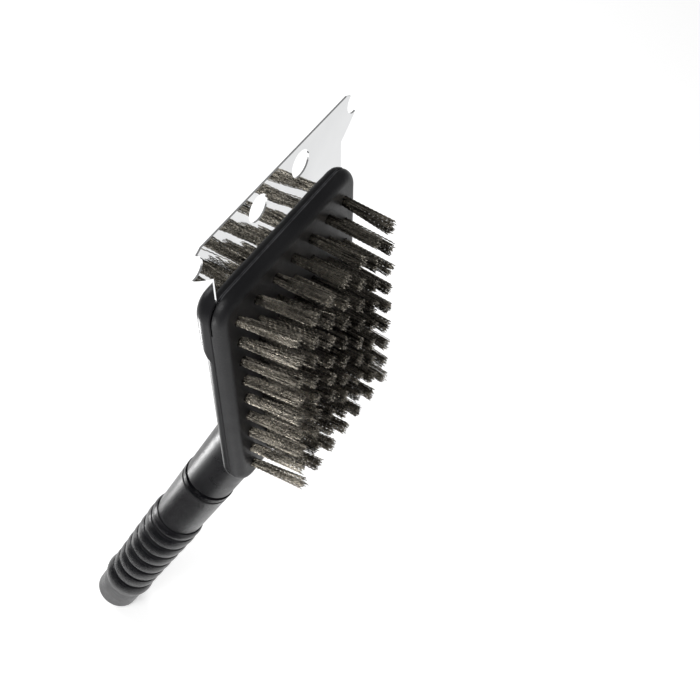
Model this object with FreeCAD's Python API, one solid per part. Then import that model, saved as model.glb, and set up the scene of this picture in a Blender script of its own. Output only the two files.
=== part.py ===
"""Grill cleaning brush, in millimetres.

The brush stands upright on the end of its handle: +Z runs up the brush towards the scraper, the
bristles point along -Y, and the handle leans back towards +Y. Every piece is modelled about the
centre of the bristle face first. The finished brush is then moved so that the origin is the
middle of its footprint, at the level of its lowest point.
"""
import FreeCAD, Part
import math
import os

Vector = FreeCAD.Vector
ACROSS = Vector(1, 0, 0)
BACKWARD = Vector(0, 1, 0)

# Head: depths are measured back from the plane y = 0, which lies just in front of the bristle
# face; the panel on the back is thinner than the end behind the scraper, and a slope joins them
HEAD_HALF_WIDTH = 38.0
HEAD_TOP = 50.3
HEAD_BOTTOM = -48.0
CORNER_RADIUS = 8.0
FACE_DEPTH = 0.6
PARTING_DEPTH = 5.2
BACK_DEPTH = 12.1
PANEL_DEPTH = 10.4
SLOPE_TOP = 33.0
SLOPE_MIDDLE = 29.5
SLOPE_MIDDLE_DEPTH = 9.9
SLOPE_FOOT = 25.5
SLOPE_FOOT_DEPTH = 8.0
SLOPE_BOTTOM = 16.0
FACE_ROUND = 3.6
BACK_ROUND = 4.5
SEAM_CHAMFER = 0.3

# Slot for the scraper along the top of the head
SLOT_BOTTOM = 38.0
SLOT_FRONT = 4.6
EDGE_BEVEL = 0.25

# Pockets inside the back shell, and the pattern on its back
POCKET_BACK = 8.0
POCKET_HALF_WIDTH = 33.0
POCKET_TOP = 34.0
POCKET_BOTTOM = -41.0
POCKET_COUNT = 3
POCKET_RIB = 1.6
PANEL_TOP = 20.0
PANEL_BOTTOM = -33.0
PANEL_HALF_WIDTH = 30.0
PANEL_RELIEF = 0.8
PANEL_RIB_COUNT = 8
PANEL_RIB_WIDTH = 3.6

# Scraper plate
PLATE_THICKNESS = 0.6
PLATE_TANG_BOTTOM = 38.5
PLATE_HALF_WIDTH = 34.0
PLATE_SHOULDER = 60.5
PLATE_TOP = 76.3
PLATE_TOP_HALF_WIDTH = 37.2
EAR_TIP_HALF_WIDTH = 39.6
EAR_TIP_HEIGHT = 75.0
EAR_HOOK_HALF_WIDTH = 42.3
EAR_HOOK_HEIGHT = 67.3
EAR_NOTCH_HALF_WIDTH = 37.6
EAR_NOTCH_HEIGHT = 70.9
EAR_BELLY_OUT = 3.3
EAR_BELLY_UP = 2.4
SCRAPER_HOLE_RADIUS = 4.6
SCRAPER_HOLE_OFFSET = 11.1
SCRAPER_HOLE_HEIGHT = 69.1

# Bristle tufts and their staples
TUFT_COLUMNS = 7
TUFT_ROWS = 9
TUFT_PITCH = 10.0
TUFT_LENGTH = 20.0
TUFT_ROOT_RADIUS = 1.8
TUFT_TIP_RADIUS = 2.8
TIP_PINCH = 0.914
TIP_SPREAD = 1.02
HOLE_DEPTH = 3.8
TUFT_FOLD_DEPTH = 3.0
STAPLE_LENGTH = 3.3
STAPLE_WIDTH = 0.45
STAPLE_HEIGHT = 0.7

# Handle: its axis leaves the head at a slant and leans back
CRANK_ANGLE = 23.55
AXIS_START = Vector(0, -9.0, 2.9)
OVAL_RATIO = 0.83
NECK_RADIUS = 11.8
NECK_ROD_START = 98.0
NECK_END = 153.0
EDGE_ROUND = 0.5
COLLAR_START = 154.0
COLLAR_END = 160.0
COLLAR_RADIUS = 12.3
COLLAR_ROUND = 0.9
SEAM_RADIUS = 11.0
HANDLE_RADIUS = 12.3
TUBE_START = 161.0
TUBE_CORE_RADIUS = 10.4
TUBE_BORE_RADIUS = 8.2
GRIP_START = 217.0
GRIP_END = 369.5
GRIP_PITCH = 19.4
GRIP_FIRST_GROOVE = 228.5
GRIP_GROOVES = 7
GRIP_GROOVE_HALF = 2.4
GRIP_GROOVE_RADIUS = 12.6
GRIP_SHOULDER_RADIUS = 13.4
GRIP_CROWN_RADIUS = 13.9
GRIP_FRONT_RADIUS = 12.8
GRIP_FRONT_ROUND = 3.0
GRIP_LAST_CROWN_RADIUS = 14.7
GRIP_LAST_CROWN = 356.0
GRIP_END_RADIUS = 13.5
SPIGOT_END = 176.0
SPIGOT_RADIUS = 8.2
SPIGOT_ROOT = 10.0
CAP_RADIUS = 13.2
CAP_STRAIGHT_END = 403.0
CAP_END = 409.0
CAP_FLAT_RADIUS = 7.5
CAP_PLUG_START = 350.0
CAP_EDGE_ROUND = 0.6

# Helpers: an ellipse's squareness, the reach of cutting boxes and their overlap with open faces
OUTLINE_POINTS = 32
ELLIPSE = 2.0
REACH = 200.0
OVERLAP = 1.0
TOLERANCE = 1e-6


def edges_at_depth(shape, depth):
    """Edges of a shape that lie in the plane y = depth."""
    return [edge for edge in shape.Edges if all(abs(v.Y - depth) < TOLERANCE for v in edge.Vertexes)]


def rounded_slab(half_width, bottom, top, radius, front, back):
    """Plate with rounded corners, in the XZ plane, from depth front to depth back."""
    slab = Part.makeBox(2 * half_width, back - front, top - bottom, Vector(-half_width, front, bottom))
    corners = [
        edge for edge in slab.Edges
        if abs(edge.Vertexes[0].Y - edge.Vertexes[-1].Y) > TOLERANCE
    ]
    return slab.makeFillet(radius, corners)


def tuft_centres(row):
    """Points (x, z) of one row of tufts; row 0 is the row next to the scraper."""
    height = TUFT_PITCH * ((TUFT_ROWS - 1) / 2 - row)
    return [(TUFT_PITCH * (column - (TUFT_COLUMNS - 1) / 2), height) for column in range(TUFT_COLUMNS)]


def bristle_block():
    """Block that closes the shell: rounded face, seat for the scraper, blind tuft holes."""
    body = rounded_slab(
        HEAD_HALF_WIDTH, HEAD_BOTTOM, HEAD_TOP, CORNER_RADIUS, FACE_DEPTH, PARTING_DEPTH,
    )
    body = body.makeFillet(FACE_ROUND, edges_at_depth(body, FACE_DEPTH))
    body = body.makeChamfer(SEAM_CHAMFER, edges_at_depth(body, PARTING_DEPTH))
    slot = Part.makeBox(REACH, REACH, REACH, Vector(-REACH / 2, SLOT_FRONT, SLOT_BOTTOM))
    holes = [
        Part.makeCylinder(TUFT_ROOT_RADIUS, HOLE_DEPTH, Vector(x, 0, z), BACKWARD)
        for row in range(TUFT_ROWS)
        for x, z in tuft_centres(row)
    ]
    body = body.cut([slot] + holes)
    seat_edge = [
        edge for edge in edges_at_depth(body, SLOT_FRONT)
        if all(abs(v.Z - HEAD_TOP) < TOLERANCE for v in edge.Vertexes)
    ]
    return body.makeChamfer(EDGE_BEVEL, seat_edge)


def section_wire(centre, axis, half_width, half_depth, squareness):
    """Closed smooth outline across an axis: an ellipse, or boxier where its squareness is greater."""
    up = axis.cross(ACROSS).normalize()
    power = ELLIPSE / squareness
    points = []
    for index in range(OUTLINE_POINTS):
        angle = 2 * math.pi * index / OUTLINE_POINTS
        across = math.copysign(abs(math.cos(angle)) ** power, math.cos(angle))
        depth = math.copysign(abs(math.sin(angle)) ** power, math.sin(angle))
        points.append(centre + ACROSS * (half_width * across) + up * (half_depth * depth))
    curve = Part.BSplineCurve()
    curve.interpolate(Points=points, PeriodicFlag=True)
    return Part.Wire([curve.toShape()])


def handle_axis():
    """Direction of the handle's axis, from the head to the end cap."""
    angle = math.radians(CRANK_ANGLE)
    return Vector(0, math.sin(angle), -math.cos(angle))


def handle_point(distance):
    """Point on the handle's axis at a distance from its start."""
    return AXIS_START + handle_axis() * distance


def neck():
    """Neck: wide and flat where it leaves the head, an oval rod where it meets the collar."""
    tilt = math.radians(CRANK_ANGLE)
    rod_width = NECK_RADIUS * OVAL_RATIO
    # distance along the axis, half width, half depth, squareness, share of the tilt, depth shift
    stations = [
        (46.0, 35.5, 5.0, 3.6, 0.0, -3.9),
        (54.0, 30.5, 6.8, 3.2, 0.4, -4.0),
        (62.0, 22.5, 8.8, 2.8, 0.75, -2.8),
        (72.0, 15.6, 10.6, 2.3, 1.0, -1.2),
        (84.0, 11.8, 11.7, ELLIPSE, 1.0, -0.3),
        (NECK_ROD_START, rod_width, NECK_RADIUS, ELLIPSE, 1.0, 0.0),
    ]
    wires = []
    for distance, half_width, half_depth, squareness, share, shift in stations:
        angle = tilt * share
        axis = Vector(0, math.sin(angle), -math.cos(angle))
        centre = handle_point(distance) + BACKWARD * shift
        wires.append(section_wire(centre, axis, half_width, half_depth, squareness))
    flare = Part.makeLoft(wires, True, False)
    rod_end = [
        section_wire(
            handle_point(distance), handle_axis(),
            rod_width - inset, NECK_RADIUS - inset, ELLIPSE,
        )
        for distance, inset in ((NECK_END - EDGE_ROUND, 0), (NECK_END, EDGE_ROUND))
    ]
    rod = Part.makeLoft([wires[-1]] + rod_end, True, True)
    spigot = revolved([
        (NECK_END - SPIGOT_ROOT, 0),
        (NECK_END - SPIGOT_ROOT, SEAM_RADIUS),
        (COLLAR_START, SEAM_RADIUS),
        (COLLAR_START, SPIGOT_RADIUS),
        (SPIGOT_END, SPIGOT_RADIUS),
        (SPIGOT_END, 0),
    ])
    return flare.fuse([rod, spigot])


def panel_channels():
    """Channels between the long ribs of the back panel."""
    floor = PANEL_DEPTH - PANEL_RELIEF
    pitch = 2 * PANEL_HALF_WIDTH / PANEL_RIB_COUNT
    channel = pitch - PANEL_RIB_WIDTH
    return [
        Part.makeBox(
            channel, PANEL_RELIEF + OVERLAP, PANEL_TOP - PANEL_BOTTOM,
            Vector(-PANEL_HALF_WIDTH + pitch * index - channel / 2, floor, PANEL_BOTTOM),
        )
        for index in range(PANEL_RIB_COUNT + 1)
    ]


def shell_slab(back):
    """Outer form of the shell, from the parting to a back face at the given depth."""
    slab = rounded_slab(HEAD_HALF_WIDTH, HEAD_BOTTOM, HEAD_TOP, CORNER_RADIUS, PARTING_DEPTH, back)
    slab = slab.makeFillet(BACK_ROUND, edges_at_depth(slab, back))
    return slab.makeChamfer(SEAM_CHAMFER, edges_at_depth(slab, PARTING_DEPTH))


def raised_end():
    """Thicker end of the shell behind the scraper, which slopes down to the panel."""
    profile = [
        (0, SLOPE_BOTTOM),
        (SLOPE_FOOT_DEPTH, SLOPE_FOOT),
        (SLOPE_MIDDLE_DEPTH, SLOPE_MIDDLE),
        (BACK_DEPTH, SLOPE_TOP),
        (REACH, SLOPE_TOP),
        (REACH, REACH),
        (0, REACH),
    ]
    outline = [Vector(-REACH / 2, depth, height) for depth, height in profile]
    zone = Part.Face(Part.makePolygon(outline + outline[:1])).extrude(ACROSS * REACH)
    return shell_slab(BACK_DEPTH).common(zone)


def shell_pockets():
    """Pockets that leave the shell hollow behind the bristle block, with ribs between them."""
    width = (2 * POCKET_HALF_WIDTH - POCKET_RIB * (POCKET_COUNT - 1)) / POCKET_COUNT
    return [
        Part.makeBox(
            width, POCKET_BACK - PARTING_DEPTH + OVERLAP, POCKET_TOP - POCKET_BOTTOM,
            Vector(
                -POCKET_HALF_WIDTH + index * (width + POCKET_RIB), PARTING_DEPTH - OVERLAP, POCKET_BOTTOM,
            ),
        )
        for index in range(POCKET_COUNT)
    ]


def revolved(profile):
    """Solid turned about the handle's axis from (distance, radius) points, then made oval."""
    points = [Vector(radius, 0, distance) for distance, radius in profile]
    face = Part.Face(Part.makePolygon(points + points[:1]))
    return placed(face.revolve(Vector(0, 0, 0), Vector(0, 0, 1), 360))


def placed(turned):
    """Squeeze a turned solid across the brush and lay it along the handle's axis."""
    squeeze = FreeCAD.Matrix()
    squeeze.scale(OVAL_RATIO, 1, 1)
    oval = turned.transformGeometry(squeeze)
    oval.Placement = FreeCAD.Placement(AXIS_START, FreeCAD.Rotation(ACROSS, 180 + CRANK_ANGLE))
    return oval


def head_shell():
    """Back shell of the head with the neck and its spigot, moulded in one."""
    block_zone = Part.makeBox(REACH, REACH, REACH, Vector(-REACH / 2, PARTING_DEPTH - REACH, HEAD_BOTTOM))
    plate_back = SLOT_FRONT + PLATE_THICKNESS
    slot = Part.makeBox(REACH, plate_back, REACH, Vector(-REACH / 2, 0, SLOT_BOTTOM))
    body = shell_slab(PANEL_DEPTH).fuse([raised_end(), neck().cut(block_zone)])
    return body.cut([slot] + shell_pockets() + panel_channels()).removeSplitter()


def scraper_outline():
    """Closed outline of the scraper plate in the XZ plane, at its front face."""
    def at(x, z):
        return Vector(x, SLOT_FRONT, z)

    def side(sign):
        """Edges of one side, from the tang up to the top edge."""
        notch = Part.Arc(
            at(sign * EAR_HOOK_HALF_WIDTH, EAR_HOOK_HEIGHT),
            at(sign * EAR_NOTCH_HALF_WIDTH, EAR_NOTCH_HEIGHT),
            at(sign * EAR_TIP_HALF_WIDTH, EAR_TIP_HEIGHT),
        )
        corner = Part.LineSegment(
            at(sign * EAR_TIP_HALF_WIDTH, EAR_TIP_HEIGHT), at(sign * PLATE_TOP_HALF_WIDTH, PLATE_TOP),
        )
        belly = Part.Arc(
            at(sign * PLATE_HALF_WIDTH, PLATE_SHOULDER),
            at(sign * (PLATE_HALF_WIDTH + EAR_BELLY_OUT), PLATE_SHOULDER + EAR_BELLY_UP),
            at(sign * EAR_HOOK_HALF_WIDTH, EAR_HOOK_HEIGHT),
        )
        flank = Part.LineSegment(
            at(sign * PLATE_HALF_WIDTH, PLATE_TANG_BOTTOM), at(sign * PLATE_HALF_WIDTH, PLATE_SHOULDER),
        )
        return [flank.toShape(), belly.toShape(), notch.toShape(), corner.toShape()]

    top = Part.LineSegment(at(-PLATE_TOP_HALF_WIDTH, PLATE_TOP), at(PLATE_TOP_HALF_WIDTH, PLATE_TOP))
    bottom = Part.LineSegment(
        at(-PLATE_HALF_WIDTH, PLATE_TANG_BOTTOM), at(PLATE_HALF_WIDTH, PLATE_TANG_BOTTOM),
    )
    edges = side(1) + [top.toShape()] + side(-1) + [bottom.toShape()]
    return Part.Wire(Part.__sortEdges__(edges))


def scraper_plate():
    """Steel plate with two round holes, a hooked ear on each side and a tang in the head."""
    plate = Part.Face(scraper_outline()).extrude(BACKWARD * PLATE_THICKNESS)
    holes = [
        Part.makeCylinder(
            SCRAPER_HOLE_RADIUS, PLATE_THICKNESS + 2 * OVERLAP,
            Vector(sign * SCRAPER_HOLE_OFFSET, SLOT_FRONT - OVERLAP, SCRAPER_HOLE_HEIGHT), BACKWARD,
        )
        for sign in (-1, 1)
    ]
    return plate.cut(holes)


def neck_collar():
    """Ring that sits on the spigot, with a low step that bears on the handle tube."""
    inner = SPIGOT_RADIUS
    edge = COLLAR_RADIUS - COLLAR_ROUND
    return revolved([
        (COLLAR_START, inner),
        (COLLAR_START, edge),
        (COLLAR_START + COLLAR_ROUND, COLLAR_RADIUS),
        (COLLAR_END - COLLAR_ROUND, COLLAR_RADIUS),
        (COLLAR_END, edge),
        (COLLAR_END, SEAM_RADIUS),
        (TUBE_START, SEAM_RADIUS),
        (TUBE_START, inner),
    ])


def handle_tube():
    """Handle tube: full size in front of the grip, stepped down inside it."""
    return revolved([
        (TUBE_START, TUBE_BORE_RADIUS),
        (TUBE_START, HANDLE_RADIUS - EDGE_ROUND),
        (TUBE_START + EDGE_ROUND, HANDLE_RADIUS),
        (GRIP_START, HANDLE_RADIUS),
        (GRIP_START, TUBE_CORE_RADIUS),
        (GRIP_END, TUBE_CORE_RADIUS),
        (GRIP_END, TUBE_BORE_RADIUS),
    ])


def grip_sleeve():
    """Rubber sleeve: crowned rings parted by narrow rounded grooves, the last ring the fullest."""
    def at(distance, radius):
        return Vector(radius, 0, distance)

    def line(first, last):
        return Part.LineSegment(first, last).toShape()

    def arc(first, middle, last):
        return Part.Arc(first, middle, last).toShape()

    grooves = [GRIP_FIRST_GROOVE + GRIP_PITCH * index for index in range(GRIP_GROOVES)]
    half = GRIP_GROOVE_HALF
    shoulder = GRIP_SHOULDER_RADIUS
    front = at(GRIP_START, GRIP_FRONT_RADIUS)
    rear = at(GRIP_END, GRIP_END_RADIUS)
    inner_front = at(GRIP_START, TUBE_CORE_RADIUS)
    inner_rear = at(GRIP_END, TUBE_CORE_RADIUS)
    edges = [
        line(inner_front, front),
        arc(front, at(GRIP_START + GRIP_FRONT_ROUND, shoulder), at(grooves[0] - half, shoulder)),
    ]
    for index, middle in enumerate(grooves):
        end = at(middle + half, shoulder)
        edges.append(arc(at(middle - half, shoulder), at(middle, GRIP_GROOVE_RADIUS), end))
        if index < GRIP_GROOVES - 1:
            crown = at(middle + GRIP_PITCH / 2, GRIP_CROWN_RADIUS)
            edges.append(arc(end, crown, at(middle + GRIP_PITCH - half, shoulder)))
    edges.append(arc(at(grooves[-1] + half, shoulder), at(GRIP_LAST_CROWN, GRIP_LAST_CROWN_RADIUS), rear))
    edges.append(line(rear, inner_rear))
    edges.append(line(inner_rear, inner_front))
    face = Part.Face(Part.Wire(edges))
    return placed(face.revolve(Vector(0, 0, 0), Vector(0, 0, 1), 360))


def end_cap():
    """Long cap with a rounded flat end and a plug that fits the handle tube's bore."""
    def at(distance, radius):
        return Vector(radius, 0, distance)

    corners = [
        at(CAP_PLUG_START, 0),
        at(CAP_PLUG_START, TUBE_BORE_RADIUS),
        at(GRIP_END, TUBE_BORE_RADIUS),
        at(GRIP_END, CAP_RADIUS - CAP_EDGE_ROUND),
        at(GRIP_END + CAP_EDGE_ROUND, CAP_RADIUS),
        at(CAP_STRAIGHT_END, CAP_RADIUS),
    ]
    edges = [Part.LineSegment(a, b).toShape() for a, b in zip(corners, corners[1:])]
    round_depth = CAP_END - CAP_STRAIGHT_END
    round_middle = at(
        CAP_STRAIGHT_END + round_depth * math.sin(math.pi / 4),
        CAP_FLAT_RADIUS + (CAP_RADIUS - CAP_FLAT_RADIUS) * math.cos(math.pi / 4),
    )
    flat_rim = at(CAP_END, CAP_FLAT_RADIUS)
    edges.append(Part.Arc(corners[-1], round_middle, flat_rim).toShape())
    edges.append(Part.LineSegment(flat_rim, at(CAP_END, 0)).toShape())
    edges.append(Part.LineSegment(at(CAP_END, 0), corners[0]).toShape())
    face = Part.Face(Part.Wire(edges))
    return placed(face.revolve(Vector(0, 0, 0), Vector(0, 0, 1), 360))


def tuft(x, z):
    """One tuft: folded in its hole, then widening and leaning in towards the middle column."""
    root = Part.makeCylinder(TUFT_ROOT_RADIUS, TUFT_FOLD_DEPTH, Vector(x, 0, z), BACKWARD)
    tip = Vector(x * TIP_PINCH, -TUFT_LENGTH, z * TIP_SPREAD)
    rings = [
        Part.Wire(Part.makeCircle(TUFT_ROOT_RADIUS, Vector(x, 0, z), BACKWARD)),
        Part.Wire(Part.makeCircle(TUFT_TIP_RADIUS, tip, BACKWARD)),
    ]
    return root.fuse(Part.makeLoft(rings, True, True)).removeSplitter()


def staple(x, z):
    """Short wire staple across the bottom of a tuft's hole."""
    corner = Vector(x - STAPLE_LENGTH / 2, TUFT_FOLD_DEPTH, z - STAPLE_WIDTH / 2)
    return Part.makeBox(STAPLE_LENGTH, STAPLE_HEIGHT, STAPLE_WIDTH, corner)


def build():
    """All nodes by name, about the centre of the bristle face."""
    nodes = {
        "head_shell": head_shell(),
        "bristle_block": bristle_block(),
        "scraper_plate": scraper_plate(),
        "neck_collar": neck_collar(),
        "handle_tube": handle_tube(),
        "grip_sleeve": grip_sleeve(),
        "end_cap": end_cap(),
    }
    for row in range(TUFT_ROWS):
        centres = tuft_centres(row)
        nodes[f"tuft_row_{row + 1}"] = Part.makeCompound([tuft(x, z) for x, z in centres])
        nodes[f"staple_row_{row + 1}"] = Part.makeCompound([staple(x, z) for x, z in centres])
    return nodes


def main():
    """Stand the brush on its lowest point, centred over the origin, and write every node."""
    os.makedirs("parts", exist_ok=True)
    nodes = build()
    box = Part.makeCompound(list(nodes.values())).optimalBoundingBox(False)
    shift = Vector(-box.Center.x, -box.Center.y, -box.ZMin)
    for name, shape in nodes.items():
        shape.translate(shift)
        shape.exportStep(f"parts/{name}.step")
        solids = len(shape.Solids)
        print(f"{name}: {solids} solids, {shape.Volume / 1000:.2f} cm3, valid {shape.isValid()}")
    print(f"box {box.XLength:.1f} x {box.YLength:.1f} x {box.ZLength:.1f}, shift {shift}")


main()
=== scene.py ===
import math
import random

import bpy
from mathutils import Matrix, Vector


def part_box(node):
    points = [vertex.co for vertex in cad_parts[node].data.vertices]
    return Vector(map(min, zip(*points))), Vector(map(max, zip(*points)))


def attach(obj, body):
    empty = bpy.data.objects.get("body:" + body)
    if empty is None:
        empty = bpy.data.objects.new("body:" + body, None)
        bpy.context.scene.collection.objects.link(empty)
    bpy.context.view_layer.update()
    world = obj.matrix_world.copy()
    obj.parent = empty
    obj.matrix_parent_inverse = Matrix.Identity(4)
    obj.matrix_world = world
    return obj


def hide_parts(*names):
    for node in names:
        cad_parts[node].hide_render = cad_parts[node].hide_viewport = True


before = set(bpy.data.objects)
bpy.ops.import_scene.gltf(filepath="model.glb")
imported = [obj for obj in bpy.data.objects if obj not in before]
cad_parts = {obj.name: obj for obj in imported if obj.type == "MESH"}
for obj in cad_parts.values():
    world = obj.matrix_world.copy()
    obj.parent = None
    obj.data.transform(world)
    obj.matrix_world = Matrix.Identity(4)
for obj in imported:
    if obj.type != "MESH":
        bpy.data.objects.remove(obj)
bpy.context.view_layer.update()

# Lengths are in metres and angles in radians unless a comment says otherwise
MM = 0.001
FULL_TURN = 2 * math.pi
GOLDEN_ANGLE = math.pi * (3 - math.sqrt(5))

# Camera: offset from the centre of the bristle face, angles in degrees, lens and sensor in mm
CAMERA_OFFSET = Vector((-189.4, -134.8, 294.8)) * MM
CAMERA_AZIMUTH = -59.02
CAMERA_ELEVATION = 52.45
CAMERA_ROLL = 1.07
CAMERA_LENS = 56.33
SENSOR_WIDTH = 36.0

# Wire tufts: each is a bundle of crimped wires that opens towards its tip. The tips lean in
# towards the middle column (pinch) and slightly outwards along the head (spread).
TUFT_COLUMNS = 7
TUFT_ROWS = 9
TUFT_PITCH = 10.0 * MM
ROOT_DEPTH = 1.5 * MM
ROOT_RADIUS = 1.6 * MM
TIP_RADIUS = 2.4 * MM
TIP_WANDER = 0.45 * MM
TIP_PINCH = 0.914
TIP_SPREAD = 1.02
WIRES_PER_TUFT = 42
WIRE_RADIUS = 0.155 * MM
WIRE_SIDES = 4
CRIMP_LENGTH = 1.7 * MM
CRIMP_HEIGHT = 0.08 * MM
SEGMENTS_PER_CRIMP = 4
STRAY_CHANCE = 0.07

# Random differences: a pair is the low and high end, a single value the most to either side
CRIMP_FACTOR = (0.92, 1.08)
HEIGHT_FACTOR = (0.8, 1.2)
REACH_FACTOR = (0.92, 1.04)
OPENING_FACTOR = (0.9, 1.08)
GAUGE_FACTOR = (0.85, 1.15)
TIP_SETBACK = (0.2 * MM, 1.5 * MM)
TUFT_TURN = 0.5
WIRE_TURN = 0.2
WIRE_ANGLE = 0.2
WIRE_PHASE = 0.25
WIRE_BEND = 0.4 * MM
STRAY_BEND = 3.0 * MM

# Materials: the part of a noise texture's range that is stretched to the full range, the bump
# distance of moulded grain, and the width of the painted highlight line along the edge of the
# bristle block beside the scraper
NOISE_LOW = 0.3
NOISE_HIGH = 0.7
FINE_GRAIN = 0.000012
COARSE_GRAIN = 0.00004
EDGE_HIGHLIGHT_WIDTH = 0.3 * MM
WHITE = (1, 1, 1, 1)

# Surroundings: the floor glows faintly, like a light table
FLOOR_REACH = 6.0
FLOOR_GLOW = 0.42
WORLD_STRENGTH = 0.28

# Softboxes: offset from the centre of the bristle face (key, back) or of the grip (side),
# width and height of the panel, power in watts
KEY_OFFSET = Vector((-0.6, -0.1, 1.0))
KEY_SIZE = (0.5, 0.5)
KEY_POWER = 9
SIDE_OFFSET = Vector((-1.0, 0.0, 0.10))
SIDE_SIZE = (0.30, 0.06)
SIDE_POWER = 4
BACK_OFFSET = Vector((0.3, 1.2, 0.5))
BACK_SIZE = (0.7, 0.7)
BACK_POWER = 8

# Kick: a small panel just above the floor behind the foot, facing up. It gives the light
# streak along the left of the handle.
KICK_X = -0.07
KICK_BEHIND_TUBE = 0.27
KICK_HEIGHT = 0.004
KICK_SIZE = (0.09, 0.09)
KICK_POWER = 0.7

# Flag: a black card just above the floor, its outline as x and y. It runs from below the
# handle to behind the foot, on the left, with one tab towards the middle.
FLAG_HEIGHT = 1.5 * MM
FLAG_OUTLINE = (
    (-0.20, -0.01), (-0.035, -0.01), (-0.035, 0.10), (-0.012, 0.125),
    (-0.012, 0.165), (-0.035, 0.19), (-0.20, 0.19),
)


# ---------------------------------------------------------------- places, from the frame

def centre_of(node):
    """Middle of a node's box."""
    low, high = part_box(node)
    return (Vector(low) + Vector(high)) / 2


face_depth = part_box("bristle_block")[0][1]
middle_row = centre_of(f"tuft_row_{(TUFT_ROWS + 1) // 2}")
face_centre = Vector((middle_row.x, face_depth, middle_row.z))
grip_centre = centre_of("grip_sleeve")
tube_centre = centre_of("handle_tube")


# ---------------------------------------------------------------- materials

def new_material(name, color, roughness, metallic=0.0):
    """Principled material with one plain base, and its node tree and shader."""
    material = bpy.data.materials.new(name)
    material.use_nodes = True
    shader = material.node_tree.nodes["Principled BSDF"]
    shader.inputs["Base Color"].default_value = (*color, 1)
    shader.inputs["Roughness"].default_value = roughness
    shader.inputs["Metallic"].default_value = metallic
    return material, material.node_tree, shader


def noise_ramp(tree, scale, detail, low=0, high=1, stretch=(1, 1, 1)):
    """Object-space noise mapped to the range low to high; returns the output socket."""
    coords = tree.nodes.new("ShaderNodeTexCoord")
    mapping = tree.nodes.new("ShaderNodeMapping")
    mapping.inputs["Scale"].default_value = stretch
    noise = tree.nodes.new("ShaderNodeTexNoise")
    noise.inputs["Scale"].default_value = scale
    noise.inputs["Detail"].default_value = detail
    ramp = tree.nodes.new("ShaderNodeMapRange")
    ramp.inputs["From Min"].default_value = NOISE_LOW
    ramp.inputs["From Max"].default_value = NOISE_HIGH
    ramp.inputs["To Min"].default_value = low
    ramp.inputs["To Max"].default_value = high
    tree.links.new(coords.outputs["Object"], mapping.inputs["Vector"])
    tree.links.new(mapping.outputs["Vector"], noise.inputs["Vector"])
    tree.links.new(noise.outputs["Fac"], ramp.inputs["Value"])
    return ramp.outputs["Result"]


def tint(tree, shader, factor, dark, light):
    """Base colour mixed between dark and light by a socket."""
    mix = tree.nodes.new("ShaderNodeMix")
    mix.data_type = "RGBA"
    mix.inputs["A"].default_value = (*dark, 1)
    mix.inputs["B"].default_value = (*light, 1)
    tree.links.new(factor, mix.inputs["Factor"])
    tree.links.new(mix.outputs["Result"], shader.inputs["Base Color"])


def overlay(tree, shader, mask, color):
    """Lay a colour over the base colour's present source, by a mask socket."""
    base = shader.inputs["Base Color"].links[0].from_socket
    mix = tree.nodes.new("ShaderNodeMix")
    mix.data_type = "RGBA"
    mix.inputs["B"].default_value = (*color, 1)
    tree.links.new(mask, mix.inputs["Factor"])
    tree.links.new(base, mix.inputs["A"])
    tree.links.new(mix.outputs["Result"], shader.inputs["Base Color"])


def bump(tree, shader, height, distance, strength=1.0):
    """Bump from a height socket."""
    node = tree.nodes.new("ShaderNodeBump")
    node.inputs["Strength"].default_value = strength
    node.inputs["Distance"].default_value = distance
    tree.links.new(height, node.inputs["Height"])
    tree.links.new(node.outputs["Normal"], shader.inputs["Normal"])


def product(tree, first, second):
    """Product of two sockets, as a socket."""
    node = tree.nodes.new("ShaderNodeMath")
    node.operation = "MULTIPLY"
    tree.links.new(first, node.inputs[0])
    tree.links.new(second, node.inputs[1])
    return node.outputs[0]


def fade_in(tree, value, start, end):
    """Smooth rise from 0 to 1 while a socket goes from start to end."""
    node = tree.nodes.new("ShaderNodeMapRange")
    node.interpolation_type = "SMOOTHSTEP"
    node.inputs["From Min"].default_value = start
    node.inputs["From Max"].default_value = end
    tree.links.new(value, node.inputs["Value"])
    return node.outputs["Result"]


def moulded_plastic(name, dark, light, roughness, specular, grain=COARSE_GRAIN):
    """Satin moulded plastic: faint cloudy tone, uneven gloss and a fine orange-peel grain."""
    low, high = roughness
    material, tree, shader = new_material(name, dark, low)
    shader.inputs["Specular IOR Level"].default_value = specular
    tint(tree, shader, noise_ramp(tree, scale=60, detail=4), dark, light)
    gloss = noise_ramp(tree, scale=140, detail=5, low=low, high=high)
    tree.links.new(gloss, shader.inputs["Roughness"])
    bump(tree, shader, noise_ramp(tree, scale=1600, detail=3), grain)
    return material


def block_with_painted_highlight():
    """Near-black moulded plastic, with a patchy painted highlight along the edge beside the
    scraper.
    """
    material = moulded_plastic(
        "block_plastic", dark=(0.005, 0.005, 0.006), light=(0.009, 0.009, 0.010),
        roughness=(0.34, 0.46), specular=0.26)
    tree = material.node_tree
    shader = tree.nodes["Principled BSDF"]
    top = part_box("bristle_block")[1][2]
    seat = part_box("scraper_plate")[0][1]
    coords = tree.nodes.new("ShaderNodeTexCoord")
    parts = tree.nodes.new("ShaderNodeSeparateXYZ")
    tree.links.new(coords.outputs["Object"], parts.inputs["Vector"])
    high = fade_in(tree, parts.outputs["Z"], top - 2 * EDGE_HIGHLIGHT_WIDTH, top - EDGE_HIGHLIGHT_WIDTH)
    deep = fade_in(tree, parts.outputs["Y"], seat - 2 * EDGE_HIGHLIGHT_WIDTH, seat - EDGE_HIGHLIGHT_WIDTH)
    patchy = noise_ramp(tree, scale=400, detail=4, low=0.35)
    mask = product(tree, product(tree, high, deep), patchy)
    # Painted highlight: light grey laid on the top edge beside the scraper seat, where that edge
    # would catch the light
    overlay(tree, shader, mask, color=(0.09, 0.09, 0.095))
    return material


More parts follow.
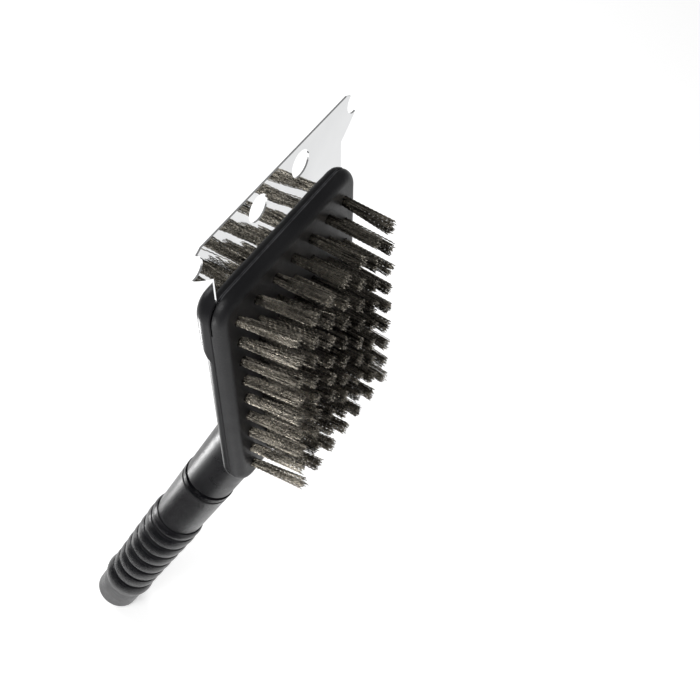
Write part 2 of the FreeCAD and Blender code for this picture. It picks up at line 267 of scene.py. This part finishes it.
def polished_steel():
    """Mirror-bright sheet with faint drag marks along the plate and a slight waviness."""
    material, tree, shader = new_material(
        "polished_steel", color=(0.72, 0.72, 0.73), roughness=0.03, metallic=1.0)
    streaks = noise_ramp(tree, scale=900, detail=6, low=0.015, high=0.05, stretch=(0.05, 1, 1))
    tree.links.new(streaks, shader.inputs["Roughness"])
    cloud = noise_ramp(tree, scale=45, detail=3)
    tint(tree, shader, cloud, dark=(0.70, 0.705, 0.71), light=(0.79, 0.795, 0.80))
    bump(tree, shader, noise_ramp(tree, scale=60, detail=1), distance=0.0004, strength=0.16)
    return material


def crimped_wire():
    """Dull steel wire with painted light: bright streaks of painted highlight between near-black
    streaks of painted shade, along the wires.
    """
    material, tree, shader = new_material(
        "crimped_wire", color=(0.16, 0.145, 0.125), roughness=0.3, metallic=1.0)
    painted_light_streaks = noise_ramp(tree, scale=1000, detail=1, stretch=(1, 0.06, 1))
    # Painted highlights and shade: the base colour runs from near black to bright along each wire,
    # in place of glints and the shade between wires
    tint(tree, shader, painted_light_streaks, dark=(0.004, 0.0033, 0.0026), light=(0.43, 0.395, 0.335))
    gloss = noise_ramp(tree, scale=500, detail=2, low=0.20, high=0.34)
    tree.links.new(gloss, shader.inputs["Roughness"])
    return material


def staple_steel():
    """Plain bright wire of the hidden staples."""
    material, tree, shader = new_material(
        "staple_steel", color=(0.5, 0.5, 0.5), roughness=0.35, metallic=1.0)
    cloud = noise_ramp(tree, scale=700, detail=3)
    tint(tree, shader, cloud, dark=(0.42, 0.41, 0.40), light=(0.56, 0.56, 0.55))
    gloss = noise_ramp(tree, scale=800, detail=3, low=0.28, high=0.5)
    tree.links.new(gloss, shader.inputs["Roughness"])
    return material


def floor_paint():
    """Plain pale floor, glowing faintly."""
    material, _, shader = new_material("floor_paint", color=(0.9, 0.9, 0.9), roughness=0.9)
    shader.inputs["Specular IOR Level"].default_value = 0.1
    shader.inputs["Emission Color"].default_value = WHITE
    shader.inputs["Emission Strength"].default_value = FLOOR_GLOW
    return material


def flag_cloth():
    """Dead black cloth without any gloss."""
    material, _, shader = new_material("flag_cloth", color=(0, 0, 0), roughness=1.0)
    shader.inputs["Specular IOR Level"].default_value = 0
    return material


def dress(node, material):
    """Give a CAD node one material on every slot."""
    mesh_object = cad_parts[node]
    if not mesh_object.material_slots:
        mesh_object.data.materials.append(material)
    for slot in mesh_object.material_slots:
        slot.material = material


# ---------------------------------------------------------------- objects

def new_object(name, data):
    """New object of some data, linked to the scene."""
    item = bpy.data.objects.new(name, data)
    bpy.context.scene.collection.objects.link(item)
    return item


def new_mesh_object(name, vertices, faces, material):
    """New mesh object with one material, linked to the scene."""
    mesh = bpy.data.meshes.new(name)
    mesh.from_pydata(vertices, [], faces)
    mesh.materials.append(material)
    return new_object(name, mesh)


# ---------------------------------------------------------------- wire tufts

def wire_points(root, tip, rng, crimp, phase, turn, stray):
    """Centre line of one crimped wire from its root to its tip."""
    line = tip - root
    length = line.length
    along = line.normalized()
    side = along.orthogonal().normalized()
    side.rotate(Matrix.Rotation(turn + rng.uniform(-WIRE_TURN, WIRE_TURN), 3, along))
    bow = along.cross(side)
    height = CRIMP_HEIGHT * rng.uniform(*HEIGHT_FACTOR)
    bend = rng.uniform(-WIRE_BEND, WIRE_BEND)
    if stray:
        bend = rng.uniform(-STRAY_BEND, STRAY_BEND)
    steps = int(SEGMENTS_PER_CRIMP * length / crimp)
    points = []
    for step in range(steps + 1):
        share = step / steps
        wave = math.sin(phase + FULL_TURN * share * length / crimp) * height
        points.append(root + line * share + side * wave + bow * (bend * share * share))
    return points


def tube_along(points, radius, vertices, faces):
    """Add a thin closed tube around a line of points to the vertex and face lists."""
    start = len(vertices)
    last = len(points) - 1
    first = None
    for index, point in enumerate(points):
        along = (points[min(index + 1, last)] - points[max(index - 1, 0)]).normalized()
        if first is None:
            first = along.orthogonal().normalized()
        else:
            first = (first - along * first.dot(along)).normalized()
        second = along.cross(first)
        for corner in range(WIRE_SIDES):
            angle = FULL_TURN * corner / WIRE_SIDES
            outwards = first * math.cos(angle) + second * math.sin(angle)
            vertices.append(point + outwards * radius)
    for index in range(last):
        low = start + index * WIRE_SIDES
        high = low + WIRE_SIDES
        for corner in range(WIRE_SIDES):
            after = (corner + 1) % WIRE_SIDES
            faces.append((low + corner, low + after, high + after, high + corner))
    faces.append(tuple(range(start + WIRE_SIDES - 1, start - 1, -1)))
    end = start + last * WIRE_SIDES
    faces.append(tuple(range(end, end + WIRE_SIDES)))


def disc_point(radius, angle):
    """Point of a disc in the XZ plane."""
    return Vector((radius * math.cos(angle), 0, radius * math.sin(angle)))


def add_tuft(root_centre, straight_tip, rng, vertices, faces):
    """Add the wires of one tuft, laid out like sunflower seeds, to the two lists."""
    wander = disc_point(TIP_WANDER * math.sqrt(rng.random()), rng.uniform(0, FULL_TURN))
    tip_centre = straight_tip + wander
    crimp = CRIMP_LENGTH * rng.uniform(*CRIMP_FACTOR)
    start = rng.uniform(0, FULL_TURN)
    turn = rng.uniform(-TUFT_TURN, TUFT_TURN)
    for wire in range(WIRES_PER_TUFT):
        reach = math.sqrt((wire + 0.5) / WIRES_PER_TUFT) * rng.uniform(*REACH_FACTOR)
        angle = start + wire * GOLDEN_ANGLE + rng.uniform(-WIRE_ANGLE, WIRE_ANGLE)
        offset = disc_point(reach, angle)
        stray = rng.random() < STRAY_CHANCE
        root = root_centre + offset * ROOT_RADIUS
        tip = tip_centre + offset * (TIP_RADIUS * rng.uniform(*OPENING_FACTOR))
        tip.y += rng.uniform(*TIP_SETBACK)
        phase = start + math.pi * (wire % 2) + rng.uniform(-WIRE_PHASE, WIRE_PHASE)
        points = wire_points(root, tip, rng, crimp, phase, turn, stray)
        tube_along(points, WIRE_RADIUS * rng.uniform(*GAUGE_FACTOR), vertices, faces)


def wire_row(row, material):
    """One row of tufts as a piece that takes the place of its CAD node."""
    node = f"tuft_row_{row}"
    tip_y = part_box(node)[0][1]
    rng = random.Random(row)
    root_z = face_centre.z + TUFT_PITCH * ((TUFT_ROWS + 1) / 2 - row)
    tip_z = face_centre.z + (root_z - face_centre.z) * TIP_SPREAD
    vertices = []
    faces = []
    for column in range(TUFT_COLUMNS):
        root_x = TUFT_PITCH * (column - (TUFT_COLUMNS - 1) / 2)
        root_centre = Vector((root_x, face_depth + ROOT_DEPTH, root_z))
        straight_tip = Vector((root_x * TIP_PINCH, tip_y, tip_z))
        add_tuft(root_centre, straight_tip, rng, vertices, faces)
    corners = [tuple(vertex) for vertex in vertices]
    piece = new_mesh_object(f"wires_row_{row}", corners, faces, material)
    polygons = piece.data.polygons
    polygons.foreach_set("use_smooth", [True] * len(polygons))
    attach(piece, "root")
    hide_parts(node)


# ---------------------------------------------------------------- stage, lights, camera

def add_floor():
    """Wide pale floor under the brush."""
    signs = ((-1, -1), (1, -1), (1, 1), (-1, 1))
    corners = [(x * FLOOR_REACH, y * FLOOR_REACH, 0) for x, y in signs]
    floor = new_mesh_object("floor", corners, [range(len(corners))], floor_paint())


def add_flag():
    """Black card beside the handle: only reflections see it, as deep tones in its gloss."""
    corners = [(x, y, FLAG_HEIGHT) for x, y in FLAG_OUTLINE]
    flag = new_mesh_object("flag", corners, [range(len(corners))], flag_cloth())
    flag.visible_camera = False
    flag.visible_diffuse = False
    flag.visible_shadow = False


def add_softbox(name, place, aim, size, power):
    """Area light at a place, turned to face a point; the camera doesn't see its panel."""
    light = bpy.data.lights.new(name, "AREA")
    light.shape = "RECTANGLE"
    light.size, light.size_y = size
    light.energy = power
    lamp = new_object(name, light)
    lamp.location = place
    lamp.rotation_euler = (aim - place).to_track_quat("-Z", "Y").to_euler()
    lamp.visible_camera = False


def add_lights():
    """Four softboxes: above the head, left of the grip, on the floor and behind."""
    add_softbox("key", face_centre + KEY_OFFSET, face_centre, KEY_SIZE, KEY_POWER)
    add_softbox("side", grip_centre + SIDE_OFFSET, grip_centre, SIDE_SIZE, SIDE_POWER)
    kick_place = Vector((KICK_X, tube_centre.y + KICK_BEHIND_TUBE, KICK_HEIGHT))
    straight_up = Vector((0, 0, 1))
    add_softbox("kick", kick_place, kick_place + straight_up, KICK_SIZE, KICK_POWER)
    add_softbox("back", face_centre + BACK_OFFSET, tube_centre, BACK_SIZE, BACK_POWER)


def add_world():
    """Even pale surroundings."""
    world = bpy.data.worlds.new("world")
    world.use_nodes = True
    background = world.node_tree.nodes["Background"]
    background.inputs["Color"].default_value = WHITE
    background.inputs["Strength"].default_value = WORLD_STRENGTH
    bpy.context.scene.world = world


def add_camera():
    """Camera above the bristle side, to the left of the head."""
    azimuth = math.radians(CAMERA_AZIMUTH)
    elevation = math.radians(CAMERA_ELEVATION)
    roll = math.radians(CAMERA_ROLL)
    level = math.cos(elevation)
    backward = Vector((math.sin(azimuth) * level, -math.cos(azimuth) * level, math.sin(elevation)))
    flat_right = Vector((math.cos(azimuth), math.sin(azimuth), 0))
    flat_up = backward.cross(flat_right)
    right = flat_right * math.cos(roll) + flat_up * math.sin(roll)
    up = backward.cross(right)
    data = bpy.data.cameras.new("camera")
    data.lens = CAMERA_LENS
    data.sensor_width = SENSOR_WIDTH
    camera = new_object("camera", data)
    turn = Matrix((right, up, backward)).transposed().to_4x4()
    camera.matrix_world = Matrix.Translation(face_centre + CAMERA_OFFSET) @ turn
    bpy.context.scene.camera = camera


# ---------------------------------------------------------------- build the scene

dress("head_shell", moulded_plastic(
    "head_plastic", dark=(0.008, 0.008, 0.009), light=(0.014, 0.014, 0.015),
    roughness=(0.26, 0.36), specular=0.09, grain=FINE_GRAIN))
dress("bristle_block", block_with_painted_highlight())
dress("scraper_plate", polished_steel())
dress("neck_collar", moulded_plastic(
    "collar_plastic", dark=(0.0015, 0.0015, 0.002), light=(0.004, 0.004, 0.005),
    roughness=(0.16, 0.24), specular=0.03))
dress("handle_tube", moulded_plastic(
    "tube_plastic", dark=(0.014, 0.014, 0.015), light=(0.022, 0.022, 0.023),
    roughness=(0.18, 0.26), specular=0.08))
dress("grip_sleeve", moulded_plastic(
    "grip_rubber", dark=(0.004, 0.004, 0.005), light=(0.008, 0.008, 0.009),
    roughness=(0.20, 0.28), specular=0.045))
dress("end_cap", moulded_plastic(
    "cap_plastic", dark=(0.020, 0.020, 0.021), light=(0.030, 0.030, 0.032),
    roughness=(0.26, 0.36), specular=0.09))
staple_material = staple_steel()
wire_material = crimped_wire()
for row in range(1, TUFT_ROWS + 1):
    dress(f"staple_row_{row}", staple_material)
    wire_row(row, wire_material)

add_floor()
add_world()
add_lights()
add_flag()
add_camera()
bpy.context.scene.view_settings.view_transform = "Standard"
